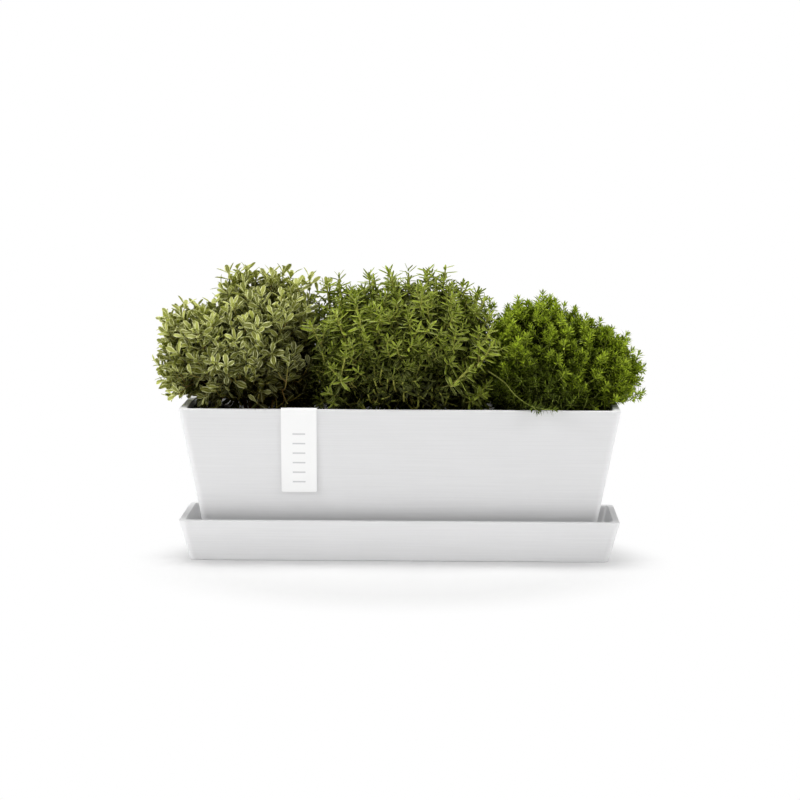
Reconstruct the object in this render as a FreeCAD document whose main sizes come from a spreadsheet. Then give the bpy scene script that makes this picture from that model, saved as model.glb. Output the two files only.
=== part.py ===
import FreeCAD, Part
import Sketcher
import math
import os

# Indoor herb planter: a tapered trough standing in its drip tray, a card tag folded
# over the rim, potting soil, and three herbs with their root balls, stems and leaves.
# Millimetres. X runs left to right, Y runs away from the front, Z runs up. The origin
# is on the surface that the planter stands on, under the middle of the drip tray.

SIZES = [
    ("rim_length", 360.0, "trough and drip tray over their rims, left to right"),
    ("rim_width", 120.0, "trough and drip tray over their rims, front to back"),
    ("tray_height", 33.8, "drip tray, underside to rim"),
    ("tray_wall", 5.2, "drip tray wall and floor"),
    ("tray_draft", 14.5, "lean of the tray walls, degrees"),
    ("tray_corner", 6.0, "rounding of the tray's upright corners"),
    ("tray_inner_corner", 2.5, "rounding inside the tray"),
    ("tray_base_round", 1.4, "rounding under the tray"),
    ("pot_height", 118.1, "trough without its feet"),
    ("pot_wall", 6.2, "trough wall and floor"),
    ("pot_draft", 10.8, "lean of the trough walls, degrees"),
    ("pot_corner", 6.0, "rounding of the trough's upright corners"),
    ("pot_inner_corner", 2.5, "rounding inside the trough"),
    ("pot_base_round", 1.4, "rounding under the trough"),
    ("rim_round", 0.9, "rounding of both rims"),
    ("foot_height", 1.5, "feet under the trough"),
    ("foot_diameter", 14.0, "feet under the trough"),
    ("foot_inset", 14.0, "foot centre in from the edges of the trough's base"),
    ("drain_diameter", 10.0, "drain holes through the trough's floor"),
    ("soil_drop", 12.0, "soil below the rim"),
    ("soil_gap", 0.3, "soil to the trough's walls"),
    ("ball_height", 80.0, "root ball"),
    ("ball_margin", 5.0, "root ball in from the edge of the soil"),
    ("ball_gap", 0.3, "root ball to its socket in the soil"),
    ("ball_round", 5.0, "rounding under the root ball"),
    ("tag_width", 28.9, "card tag, left to right"),
    ("tag_drop", 68.3, "front leaf of the tag, down from the rim"),
    ("tag_tuck", 44.0, "back leaf of the tag, down from the rim"),
    ("tag_thickness", 0.6, "card"),
    ("tag_gap", 0.3, "card to what it hangs on"),
    ("tag_corner", 1.3, "rounding of the tag's lower corners"),
    ("tag_left", 81.8, "middle of the tag, left of the trough's middle"),
    ("stem_foot", 3.4, "stem diameter at the soil"),
    ("stem_top", 2.2, "stem diameter in the leaves"),
    ("stem_rise", 30.0, "top of the stems above the rim"),
    ("crown_radius", 8.0, "ring that the stems grow from"),
    ("crown_spread", 28.0, "ring that the stems reach"),
    ("leaf_lift", 1.2, "lowest leaves above the rim"),
    ("leaf_gap", 0.3, "one herb's leaves to the next herb's"),
    ("thyme_reach", 115.0, "left herb, from the rim to its furthest leaves"),
    ("rosemary_reach", 119.0, "middle herb, the same"),
    ("savory_reach", 92.0, "right herb, the same"),
    ("herb_inset", 6.0, "leaves in from the outside of the rim, front and back"),
    ("sprig_radius", 3.5, "sprig that hangs over the front rim"),
    ("sprig_clear", 1.6, "that sprig to the rim"),
    ("sprig_drop", 4.0, "that sprig's tip below the rim"),
    ("overrun", 5.0, "cuts run this far past what they cut"),
]

doc = FreeCAD.newDocument("HerbPlanter")
sheet = doc.addObject("Spreadsheet::Sheet", "Sizes")
for row, (alias, size, meaning) in enumerate(SIZES, start=1):
    sheet.set(f"A{row}", meaning)
    sheet.set(f"B{row}", str(size))
    sheet.setAlias(f"B{row}", alias)
doc.recompute()

# Places that follow from the sizes, written as expressions on the sheet.
LEAN = "tan(Sizes.pot_draft * 1 deg)"
SLANT = "cos(Sizes.pot_draft * 1 deg)"
POT_BASE = "(Sizes.tray_wall + Sizes.foot_height)"
POT_FLOOR = f"({POT_BASE} + Sizes.pot_wall)"
RIM = f"({POT_BASE} + Sizes.pot_height)"
WALL_ACROSS = f"(Sizes.pot_wall / {SLANT})"
BASE_INSET = f"(Sizes.pot_height * {LEAN} + Sizes.foot_inset)"
SOIL_TOP = f"({RIM} - Sizes.soil_drop)"
SOIL_EDGE = f"({WALL_ACROSS} + Sizes.soil_gap / {SLANT} + Sizes.soil_drop * {LEAN})"
BALL_TOP = f"(Sizes.rim_width / 2 - {SOIL_EDGE} - Sizes.ball_margin)"
BALL_BASE = f"({BALL_TOP} - Sizes.ball_height * {LEAN})"
SPACING = f"(Sizes.rim_length / 2 - {SOIL_EDGE} - Sizes.ball_margin - {BALL_TOP})"
TAG_OUTSIDE = "(Sizes.tag_gap + Sizes.tag_thickness)"
TAG_CLEAR = f"({TAG_OUTSIDE} + Sizes.tag_gap)"
TINY = 1e-6


def number(expression):
    """What an expression on the sheet comes to now."""
    value = sheet.evalExpression(expression)
    return float(getattr(value, "Value", value))


def size_of(alias):
    """One size from the sheet."""
    return float(sheet.get(alias))


def near(a, b):
    """Whether two places are one and the same."""
    return math.isclose(a, b, abs_tol=TINY)


def new_body(label):
    """An empty body for one piece."""
    body = doc.addObject("PartDesign::Body", label)
    body.Label = label
    return body


def new_sketch(body, name, role, offset="0"):
    """A sketch on one of the body's own origin planes, moved along its normal."""
    sketch = body.newObject("Sketcher::SketchObject", name)
    plane = next(f for f in body.Origin.OriginFeatures if f.Role == role)
    sketch.AttachmentSupport = [(plane, "")]
    sketch.MapMode = "FlatFace"
    sketch.setExpression("AttachmentOffset.Base.z", offset)
    return sketch


def tie(sketch, constraint, expression):
    """Adds a dimension to a sketch and binds it to an expression."""
    index = sketch.addConstraint(constraint)
    sketch.setExpression(f"Constraints[{index}]", expression)


def draw_polygon(sketch, points):
    """A closed outline through points whose two places are expressions."""
    corners = [FreeCAD.Vector(number(x), number(y), 0) for x, y in points]
    for i, corner in enumerate(corners):
        sketch.addGeometry(Part.LineSegment(corner, corners[(i + 1) % len(corners)]))
    for i, (x, y) in enumerate(points):
        after = (i + 1) % len(points)
        sketch.addConstraint(Sketcher.Constraint("Coincident", i, 2, after, 1))
        tie(sketch, Sketcher.Constraint("DistanceX", -1, 1, i, 1, corners[i].x), x)
        tie(sketch, Sketcher.Constraint("DistanceY", -1, 1, i, 1, corners[i].y), y)


def draw_rectangle(sketch, half_length, half_width):
    """A rectangle about the sketch's origin."""
    x, y = half_length, half_width
    draw_polygon(sketch, [(f"-{x}", f"-{y}"), (x, f"-{y}"), (x, y), (f"-{x}", y)])


def draw_circle(sketch, x, y, diameter):
    """A circle whose centre and diameter are expressions."""
    centre = FreeCAD.Vector(number(x), number(y), 0)
    across = number(diameter)
    i = sketch.addGeometry(Part.Circle(centre, FreeCAD.Vector(0, 0, 1), across / 2))
    tie(sketch, Sketcher.Constraint("DistanceX", -1, 1, i, 3, centre.x), x)
    tie(sketch, Sketcher.Constraint("DistanceY", -1, 1, i, 3, centre.y), y)
    tie(sketch, Sketcher.Constraint("Diameter", i, across), diameter)


def add_pad(body, name, sketch, length, down=False, both_ways=False):
    """A pad of a sketch: upward, downward, or half of it each way."""
    pad = body.newObject("PartDesign::Pad", name)
    pad.Profile = sketch
    pad.setExpression("Length", length)
    pad.Reversed = down
    if both_ways:
        pad.SideType = "Symmetric"
    doc.recompute()
    return pad


def add_pocket(body, name, sketch, length, both_ways=False):
    """A pocket of a sketch, which has to take something away."""
    before = body.Tip.Shape.Volume
    pocket = body.newObject("PartDesign::Pocket", name)
    pocket.Profile = sketch
    pocket.setExpression("Length", length)
    if both_ways:
        pocket.SideType = "Symmetric"
    doc.recompute()
    if pocket.Shape.Volume >= before:
        raise RuntimeError(f"{name} cuts nothing")
    return pocket


def faces_of(feature, wanted):
    """Names of a feature's faces that a test picks out."""
    faces = enumerate(feature.Shape.Faces, start=1)
    return [f"Face{i}" for i, face in faces if wanted(face)]


def edges_of(feature, wanted):
    """Names of a feature's edges that a test picks out."""
    edges = enumerate(feature.Shape.Edges, start=1)
    return [f"Edge{i}" for i, edge in edges if wanted(edge)]


def lies_at(height):
    """A test for what lies all at one height."""
    return lambda shape: near(shape.BoundBox.ZMin, height) and near(shape.BoundBox.ZMax, height)


def climbs_from(height):
    """A test for a corner edge that starts at a height and climbs."""
    return lambda edge: near(edge.BoundBox.ZMin, height) and not lies_at(height)(edge)


def round_edges(body, name, edges, radius):
    """Rounds edges of the body's last feature."""
    fillet = body.newObject("PartDesign::Fillet", name)
    fillet.Base = (fillet.BaseFeature, edges)
    fillet.setExpression("Radius", radius)
    doc.recompute()
    return fillet


def add_leaning_block(body, name, top, half_length, half_width, depth, angle):
    """A block that hangs down from its top outline and narrows on all four sides."""
    plan = new_sketch(body, f"{name}Plan", "XY_Plane", top)
    draw_rectangle(plan, half_length, half_width)
    block = add_pad(body, f"{name}Block", plan, depth, down=True)
    level = number(top)
    draft = body.newObject("PartDesign::Draft", f"{name}Draft")
    draft.Base = (block, faces_of(block, lambda f: not near(f.BoundBox.ZLength, 0)))
    draft.NeutralPlane = (block, faces_of(block, lies_at(level)))
    draft.setExpression("Angle", angle)
    draft.Reversed = True
    doc.recompute()
    return draft


def add_moulded_box(body, name, size, top):
    """An open moulded box: leaning walls of one thickness, every edge rounded."""
    depth, angle = f"Sizes.{size}_height", f"Sizes.{size}_draft"
    block = add_leaning_block(
        body, name, top, "(Sizes.rim_length / 2)", "(Sizes.rim_width / 2)", depth, angle
    )
    rim = number(top)
    base = rim - size_of(f"{size}_height")
    floor = base + size_of(f"{size}_wall")
    hollow = body.newObject("PartDesign::Thickness", f"{name}Hollow")
    hollow.Base = (block, faces_of(block, lies_at(rim)))
    hollow.setExpression("Value", f"Sizes.{size}_wall")
    hollow.Join = "Intersection"
    hollow.Reversed = True
    doc.recompute()
    outside = edges_of(hollow, climbs_from(base))
    corners = round_edges(body, f"{name}Corners", outside, f"Sizes.{size}_corner")
    inside = edges_of(corners, climbs_from(floor)) + edges_of(corners, lies_at(floor))
    inner = round_edges(body, f"{name}Inside", inside, f"Sizes.{size}_inner_corner")
    under = edges_of(inner, lies_at(base))
    under = round_edges(body, f"{name}Underside", under, f"Sizes.{size}_base_round")
    return round_edges(body, f"{name}Rim", edges_of(under, lies_at(rim)), "Sizes.rim_round")


# Drip tray: a shallow moulded tray that catches the water under the trough.
tray = new_body("drip_tray")
add_moulded_box(tray, "Tray", "tray", "Sizes.tray_height")

# Trough: the same moulding, deeper, on four low feet, with a drain hole in its floor
# under each herb.
pot = new_body("planter_box")
add_moulded_box(pot, "Trough", "pot", RIM)

feet = new_sketch(pot, "FeetPlan", "XY_Plane", "Sizes.tray_wall")
foot_x = f"(Sizes.rim_length / 2 - {BASE_INSET})"
foot_y = f"(Sizes.rim_width / 2 - {BASE_INSET})"
for sign_x in ("", "-"):
    for sign_y in ("", "-"):
        draw_circle(feet, sign_x + foot_x, sign_y + foot_y, "Sizes.foot_diameter")
add_pad(pot, "Feet", feet, "Sizes.foot_height")

drains = new_sketch(pot, "DrainPlan", "XY_Plane", POT_FLOOR)
for place in (f"-{SPACING}", "0", SPACING):
    draw_circle(drains, place, "0", "Sizes.drain_diameter")
add_pocket(pot, "DrainHoles", drains, "Sizes.pot_wall + Sizes.overrun")

# Tag: one strip of card in the shape of a hook. Its front leaf hangs down the outside
# of the trough and its back leaf is tucked between the wall and the soil.


def outside_wall(gap, below):
    """How far back a line lies that runs down the wall's outside, this gap off it."""
    return f"(-Sizes.rim_width / 2 - {gap} / {SLANT} + {below} * {LEAN})"


def inside_wall(gap, below):
    """The same for the wall's inside."""
    return f"(-Sizes.rim_width / 2 + {WALL_ACROSS} + {gap} / {SLANT} + {below} * {LEAN})"


tag = new_body("hang_tag")
profile = new_sketch(tag, "TagProfile", "YZ_Plane", "-Sizes.tag_left")
front_end, back_end = f"({RIM} - Sizes.tag_drop)", f"({RIM} - Sizes.tag_tuck)"
outer, inner = TAG_OUTSIDE, "Sizes.tag_gap"
draw_polygon(
    profile,
    [
        (outside_wall(outer, "Sizes.tag_drop"), front_end),
        (outside_wall(outer, f"(-{outer})"), f"({RIM} + {outer})"),
        (inside_wall(outer, f"(-{outer})"), f"({RIM} + {outer})"),
        (inside_wall(outer, "Sizes.tag_tuck"), back_end),
        (inside_wall(inner, "Sizes.tag_tuck"), back_end),
        (inside_wall(inner, f"(-{inner})"), f"({RIM} + {inner})"),
        (outside_wall(inner, f"(-{inner})"), f"({RIM} + {inner})"),
        (outside_wall(inner, "Sizes.tag_drop"), front_end),
    ],
)
strip = add_pad(tag, "TagStrip", profile, "Sizes.tag_width", both_ways=True)


def lower_corner(edge):
    """A short edge through the card at the end of a leaf."""
    ends = (number(front_end), number(back_end))
    return any(lies_at(z)(edge) for z in ends) and edge.Length < size_of("tag_corner")


round_edges(tag, "TagCorners", edges_of(strip, lower_corner), "Sizes.tag_corner")

# Potting soil: fills the trough up to below its rim, with a socket for each root ball
# and a slot for the back leaf of the tag.
soil = new_body("potting_soil")
add_leaning_block(
    soil,
    "Soil",
    SOIL_TOP,
    f"(Sizes.rim_length / 2 - {SOIL_EDGE})",
    f"(Sizes.rim_width / 2 - {SOIL_EDGE})",
    f"({SOIL_TOP} - {POT_FLOOR})",
    "Sizes.pot_draft",
)
soil_base = number(POT_FLOOR)
soil_edges = edges_of(soil.Tip, climbs_from(soil_base)) + edges_of(soil.Tip, lies_at(soil_base))
round_edges(soil, "SoilEdges", soil_edges, "Sizes.pot_inner_corner")

slot = new_sketch(soil, "TagSlotProfile", "YZ_Plane", "-Sizes.tag_left")
slot_end, slot_mouth = "(Sizes.tag_tuck + Sizes.tag_gap)", "(Sizes.soil_drop - Sizes.overrun)"
draw_polygon(
    slot,
    [
        (inside_wall("(-Sizes.overrun)", slot_end), f"({RIM} - {slot_end})"),
        (inside_wall(TAG_CLEAR, slot_end), f"({RIM} - {slot_end})"),
        (inside_wall(TAG_CLEAR, slot_mouth), f"({RIM} - {slot_mouth})"),
        (inside_wall("(-Sizes.overrun)", slot_mouth), f"({RIM} - {slot_mouth})"),
    ],
)
add_pocket(soil, "TagSlot", slot, "Sizes.tag_width + 2 * Sizes.tag_gap", both_ways=True)

before_sockets = soil.Tip.Shape.Volume
socket_depth = "(Sizes.ball_height + Sizes.ball_gap + Sizes.overrun)"
for i, place in enumerate((f"-{SPACING}", "0", SPACING)):
    socket = soil.newObject("PartDesign::SubtractiveCone", f"Socket{i}")
    plane = next(f for f in soil.Origin.OriginFeatures if f.Role == "XY_Plane")
    socket.AttachmentSupport = [(plane, "")]
    socket.MapMode = "FlatFace"
    socket.setExpression("AttachmentOffset.Base.x", place)
    socket.setExpression(
        "AttachmentOffset.Base.z", f"{SOIL_TOP} - Sizes.ball_height - Sizes.ball_gap"
    )
    socket.setExpression("Height", socket_depth)
    socket.setExpression("Radius1", f"{BALL_BASE} + Sizes.ball_gap")
    socket.setExpression("Radius2", f"{BALL_BASE} + Sizes.ball_gap + {socket_depth} * {LEAN}")
    doc.recompute()
if soil.Tip.Shape.Volume >= before_sockets:
    raise RuntimeError("the sockets cut nothing")

# Herbs, left to right. Each has a root ball as its nursery pot left it, a ring of woody
# stems, and a bush of leaves over the rim. An outline gives how far the leaves reach,
# seen from the front, from due right over the top to due left in equal turns.
HERBS = {
    "thyme": (-1, [0.45, 0.48, 0.62, 0.98, 1.00, 0.82, 0.94, 0.78, 0.61]),
    "rosemary": (0, [0.66, 0.75, 0.82, 1.00, 0.88, 0.93, 0.90, 0.72, 0.68]),
    "savory": (1, [0.80, 0.98, 0.98, 0.87, 1.00, 0.98, 0.72, 0.55, 0.50]),
}
TURNS = 16
TILTS = 10
HOLLOW_SHARE = 0.84
STEM_COUNT = 6
DIVIDE_SHARE = 0.645
SPRIG_ROOT_SHARE = 0.3
SPRIG_SHARES = (0.84, 0.98, 1.06)
FULLNESS = 2.1


def add_root_ball(label, side):
    """A tapered plug of roots and soil."""
    ball = new_body(label)
    cone = ball.newObject("PartDesign::AdditiveCone", f"{label}Cone")
    cone.setExpression("Height", "Sizes.ball_height")
    cone.setExpression("Radius1", BALL_BASE)
    cone.setExpression("Radius2", BALL_TOP)
    ball.setExpression("Placement.Base.x", f"{side} * {SPACING}")
    ball.setExpression("Placement.Base.z", f"{SOIL_TOP} - Sizes.ball_height")
    doc.recompute()
    under = edges_of(cone, lambda e: near(e.BoundBox.ZMax, cone.Shape.BoundBox.ZMin))
    round_edges(ball, f"{label}Round", under, "Sizes.ball_round")
    return ball


def add_shape(label, shape):
    """A piece whose shape is worked out here."""
    piece = doc.addObject("Part::Feature", label)
    piece.Label = label
    piece.Shape = shape
    return piece


def stems_of(middle):
    """Woody stems that stand on the root ball and lean apart."""
    ground, top = number(SOIL_TOP), number(RIM) + size_of("stem_rise")
    stems = []
    for i in range(STEM_COUNT):
        turn = 2 * math.pi * i / STEM_COUNT
        outward = FreeCAD.Vector(math.cos(turn), math.sin(turn), 0)
        foot = FreeCAD.Vector(middle, 0, ground) + outward * size_of("crown_radius")
        end = FreeCAD.Vector(middle, 0, top) + outward * size_of("crown_spread")
        buried = foot - (end - foot).normalize() * size_of("overrun")
        run = end - buried
        thick, thin = size_of("stem_foot") / 2, size_of("stem_top") / 2
        stems.append(Part.makeCone(thick, thin, run.Length, buried, run))
    below = 2 * size_of("overrun")
    side = 2 * size_of("crown_spread") + size_of("stem_foot")
    corner = FreeCAD.Vector(middle - side / 2, -side / 2, ground - below)
    earth = Part.makeBox(side, side, below, corner)
    return Part.makeCompound([stem.cut(earth) for stem in stems])


def reach_at(shares, furthest, turn, tilt):
    """How far the leaves reach at a turn seen from the front and a tilt away from it."""
    place = turn / math.pi * (len(shares) - 1)
    low = min(int(place), len(shares) - 2)
    share = shares[low] + (shares[low + 1] - shares[low]) * (place - low)
    flat = math.cos(tilt) / (share * furthest)
    deep = abs(math.sin(tilt)) / herb_depth
    return (flat**FULLNESS + deep**FULLNESS) ** (-1 / FULLNESS)


def leaves_of(middle, shares, furthest, left, right):
    """A faceted bush with its flat underside just over the rim: sprays of leaves stand
    out all over it in a chequer, with hollows between, and it stops at its neighbours."""
    centre = FreeCAD.Vector(middle, 0, number(RIM) + size_of("leaf_lift"))
    points = []
    for i in range(TURNS + 1):
        turn = math.pi * i / TURNS
        across, rise = math.cos(turn), math.sin(turn) if 0 < i < TURNS else 0
        points.append([])
        for j in range(TILTS + 1):
            tilt = math.pi * (j / TILTS - 0.5)
            level = math.cos(tilt) if 0 < j < TILTS else 0
            reach = reach_at(shares, furthest, turn, tilt)
            if level and (i + j) % 2:
                reach *= HOLLOW_SHARE
            way = FreeCAD.Vector(across * level, math.sin(tilt), rise * level)
            limit = right if way.x > 0 else left
            if abs(way.x) > TINY:
                reach = min(reach, (limit - middle) / way.x)
            points[i].append(centre + way * reach)
    facets = []
    for i in range(TURNS):
        for j in range(TILTS):
            a, b = points[i][j], points[i + 1][j]
            c, d = points[i + 1][j + 1], points[i][j + 1]
            if j == 0:
                facets.append((a, c, d))
            elif j == TILTS - 1:
                facets.append((a, b, c))
            elif (i + j) % 2:
                facets += [(a, b, d), (b, c, d)]
            else:
                facets += [(a, b, c), (a, c, d)]
    facets.append(points[0] + points[TURNS][-2:0:-1])
    faces = [Part.Face(Part.makePolygon([*ring, ring[0]])) for ring in facets]
    return Part.makeSolid(Part.makeShell(faces))


def sprig_over_rim():
    """The right herb's one sprig that lies over the front rim and hangs down."""
    radius = size_of("sprig_radius")
    clear = size_of("sprig_clear") + radius
    out = -size_of("rim_width") / 2 - clear
    rise = number(RIM) + clear
    xs = [number(SPACING) * share for share in SPRIG_SHARES]
    inside = FreeCAD.Vector(xs[0], -herb_depth * SPRIG_ROOT_SHARE, rise)
    bend = FreeCAD.Vector(xs[1], out, rise)
    hang = FreeCAD.Vector(xs[2], out, number(RIM) - size_of("sprig_drop"))
    pieces = []
    for a, b in ((inside, bend), (bend, hang)):
        pieces.append(Part.makeCylinder(radius, (b - a).Length, a, b - a))
        pieces.append(Part.makeSphere(radius, b))
    return pieces[0].fuse(pieces[1:])


herb_pieces = []
herb_depth = number("Sizes.rim_width / 2 - Sizes.herb_inset")
divide = number(SPACING) * DIVIDE_SHARE
for herb, (side, shares) in HERBS.items():
    middle = side * number(SPACING)
    furthest = size_of(f"{herb}_reach")
    near_side = divide - size_of("leaf_gap") / 2
    far_side = divide + size_of("leaf_gap") / 2
    ends = {
        -1: (middle - furthest, -far_side),
        0: (-near_side, near_side),
        1: (far_side, middle + furthest),
    }
    herb_pieces.append(add_root_ball(f"{herb}_root_ball", side))
    stems = stems_of(middle)
    herb_pieces.append(add_shape(f"{herb}_stems", stems))
    leaves = leaves_of(middle, shares, furthest, *ends[side])
    if side > 0:
        leaves = leaves.fuse(sprig_over_rim())
    herb_pieces.append(add_shape(f"{herb}_foliage", leaves.cut(stems)))

pieces = [tray, pot, tag, soil] + herb_pieces
doc.recompute()
for thing in doc.Objects:
    if "Invalid" in thing.State or "Error" in thing.State:
        raise RuntimeError(f"{thing.Label} failed: {thing.State}")
for piece in pieces:
    if piece.Shape.isNull() or not piece.Shape.isValid():
        raise RuntimeError(f"{piece.Label} has no valid shape")

os.makedirs("parts", exist_ok=True)
for piece in pieces:
    piece.Shape.exportStep(f"parts/{piece.Label}.step")
    print(piece.Label, len(piece.Shape.Solids), round(piece.Shape.Volume))
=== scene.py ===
import math
from itertools import combinations

import bpy
import numpy as np
from mathutils import Matrix, Vector


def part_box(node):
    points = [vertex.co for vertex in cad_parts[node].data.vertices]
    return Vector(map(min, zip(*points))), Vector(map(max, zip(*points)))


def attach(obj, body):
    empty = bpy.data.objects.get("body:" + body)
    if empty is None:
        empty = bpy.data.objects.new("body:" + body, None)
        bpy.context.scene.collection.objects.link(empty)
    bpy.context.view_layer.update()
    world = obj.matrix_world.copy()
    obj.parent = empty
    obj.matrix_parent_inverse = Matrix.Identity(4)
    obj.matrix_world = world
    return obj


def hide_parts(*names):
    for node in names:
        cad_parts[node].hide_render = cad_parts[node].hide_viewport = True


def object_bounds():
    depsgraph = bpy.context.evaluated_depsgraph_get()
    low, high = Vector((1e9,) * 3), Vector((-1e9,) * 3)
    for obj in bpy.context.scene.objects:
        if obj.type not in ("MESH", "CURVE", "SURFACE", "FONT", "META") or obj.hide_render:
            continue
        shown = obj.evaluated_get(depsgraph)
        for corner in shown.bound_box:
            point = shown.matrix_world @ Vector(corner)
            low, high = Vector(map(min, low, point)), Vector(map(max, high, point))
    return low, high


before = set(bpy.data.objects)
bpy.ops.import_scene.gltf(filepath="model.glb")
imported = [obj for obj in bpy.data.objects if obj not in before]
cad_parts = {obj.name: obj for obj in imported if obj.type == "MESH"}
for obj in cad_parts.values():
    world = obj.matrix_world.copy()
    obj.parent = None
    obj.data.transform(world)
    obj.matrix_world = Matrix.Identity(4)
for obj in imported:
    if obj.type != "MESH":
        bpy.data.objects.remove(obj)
cad_low, cad_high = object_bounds()

# Camera: a long lens over two and a half metres in front of the planter and a little
# above its rim, turned and rolled by about a degree.
PHOTO_WIDTH = 800
LENS_PIXELS = 3175.35
SENSOR = 36.0
EYE = Vector((0.045175, -2.6220, 0.37407))
YAW, PITCH, ROLL = (math.radians(angle) for angle in (-1.001, 5.372, 0.237))

scene = bpy.context.scene
level = math.cos(PITCH)
ahead = Vector((math.sin(YAW) * level, math.cos(YAW) * level, -math.sin(PITCH)))
across = Vector((math.cos(YAW), -math.sin(YAW), 0))
overhead = across.cross(ahead)
right = across * math.cos(ROLL) + overhead * math.sin(ROLL)
up = overhead * math.cos(ROLL) - across * math.sin(ROLL)
lens = bpy.data.cameras.new("camera")
lens.sensor_width = SENSOR
lens.lens = LENS_PIXELS * SENSOR / PHOTO_WIDTH
camera = bpy.data.objects.new("camera", lens)
turned = Matrix((right, up, -ahead)).transposed().to_4x4()
camera.matrix_world = Matrix.Translation(EYE) @ turned
scene.collection.objects.link(camera)
scene.camera = camera
scene.view_settings.view_transform = "Standard"


# Studio: a white sweep under and behind the planter, one broad lamp overhead and one in
# front to each side. Near the planter the camera sees the floor grey enough to show its
# soft shadow, and plain white from SHADOW_REACH on.
WHITE, BLACK = (1, 1, 1, 1), (0, 0, 0, 1)
FLOOR_SIZE = 12.0
FLOOR_WHITE, FLOOR_SEEN = (0.96, 0.96, 0.96, 1), (0.66, 0.66, 0.66, 1)
SHADOW_REACH = (0.20, 0.33)
SHADOW_SCALE, SHADOW_SHIFT = (1.45, 1.2, 1), (0, 0.072, 0)
AIR_LIGHT = 0.25
LAMP_WIDTH, LAMP_AIM = 0.8, Vector((0, 0, 0.1))
LAMPS = (
    ("top_lamp", (-0.2, 0.35, 2.3), 41),
    ("left_lamp", (-2.05, -0.88, 1.2), 28.5),
    ("right_lamp", (2.05, -0.78, 1.2), 24.5),
)


class Shade:
    """A socket of a node tree. Sums, products and comparisons of it add Math nodes."""

    def __init__(self, tree, socket=None):
        self.tree, self.socket = tree, socket

    def node(self, kind, sockets=None, settings=None, output=0):
        """Adds any node, with what its sockets take and its settings."""
        made = self.tree.nodes.new(kind)
        for name, value in (settings or {}).items():
            setattr(made, name, value)
        for key, value in (sockets or {}).items():
            if isinstance(value, Shade):
                self.tree.links.new(value.socket, made.inputs[key])
            else:
                made.inputs[key].default_value = value
        return Shade(self.tree, made.outputs[output])

    def maths(self, operation, *values):
        """Adds a Math node."""
        return self.node("ShaderNodeMath", dict(enumerate(values)), {"operation": operation})

    def __add__(self, other):
        return self.maths("ADD", self, other)

    def __sub__(self, other):
        return self.maths("SUBTRACT", self, other)

    def __rsub__(self, other):
        return self.maths("SUBTRACT", other, self)

    def __mul__(self, other):
        return self.maths("MULTIPLY", self, other)

    def __gt__(self, other):
        return self.maths("GREATER_THAN", self, other)

    def __lt__(self, other):
        return self.maths("LESS_THAN", self, other)

    def within(self, low, high):
        """1 where this value lies between two others."""
        return (self > low) * (self < high)

    def vector(self, operation, *values, output=0):
        """Adds a Vector Math node."""
        sockets = dict(enumerate(values))
        return self.node("ShaderNodeVectorMath", sockets, {"operation": operation}, output)

    def times(self, sizes):
        """A vector with each part scaled."""
        return self.vector("MULTIPLY", self, sizes)

    def split(self):
        """The first two parts of a vector."""
        outputs = self.node("ShaderNodeSeparateXYZ", {0: self}).socket.node.outputs
        return Shade(self.tree, outputs[0]), Shade(self.tree, outputs[1])

    def blend(self, none, full):
        """A colour that goes from one to another as this goes from 0 to 1."""
        return self.node("ShaderNodeMix", {0: self, 6: none, 7: full}, {"data_type": "RGBA"}, 2)

    def ramp(self, start, at, middle, end):
        """A colour that passes a middle one as this goes from 0 to 1."""
        coloured = self.node("ShaderNodeValToRGB", {0: self})
        elements = coloured.socket.node.color_ramp.elements
        elements[0].color, elements[1].color = start, end
        elements.new(at).color = middle
        return coloured

    def ease(self, low, high):
        """0 up to low, 1 from high, and smooth between."""
        settings = {"interpolation_type": "SMOOTHSTEP"}
        return self.node("ShaderNodeMapRange", {0: self, 1: low, 2: high}, settings)

    def noise(self, scale, detail=3.0, rough=0.5):
        """Noise at this place, from 0 to 1."""
        sockets = {"Vector": self, "Scale": scale, "Detail": detail, "Roughness": rough}
        return self.node("ShaderNodeTexNoise", sockets)

    def bump(self, strength, depth):
        """The normal of a surface with this relief."""
        sockets = {"Strength": strength, "Distance": depth, "Height": self}
        return self.node("ShaderNodeBump", sockets)

    def mix(self, factor, none, full):
        """A mix of two surfaces."""
        return self.node("ShaderNodeMixShader", {0: factor, 1: none, 2: full})


def new_finish(name):
    """An empty material, and what its nodes are added to."""
    material = bpy.data.materials.new(name)
    material.use_nodes = True
    material.node_tree.nodes.clear()
    return material, Shade(material.node_tree)


def ends_in(nodes, surface, kind="ShaderNodeOutputMaterial"):
    """Sends a surface to a new output node."""
    output = nodes.tree.nodes.new(kind)
    nodes.tree.links.new(surface.socket, output.inputs["Surface"])


def seen_plainly(nodes):
    """1 where a ray comes straight from the camera."""
    return nodes.node("ShaderNodeLightPath", output="Is Camera Ray")


def on_piece(nodes):
    """Where on its piece a point lies."""
    return nodes.node("ShaderNodeTexCoord", output="Object")


air = bpy.data.worlds.new("studio_air")
scene.world = air
air.use_nodes = True
air.node_tree.nodes.clear()
nodes = Shade(air.node_tree)
dim = nodes.node("ShaderNodeBackground", {"Color": WHITE, "Strength": AIR_LIGHT})
plain = nodes.node("ShaderNodeBackground", {"Color": WHITE, "Strength": 1.0})
ends_in(nodes, nodes.mix(seen_plainly(nodes), dim, plain), "ShaderNodeOutputWorld")

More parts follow.
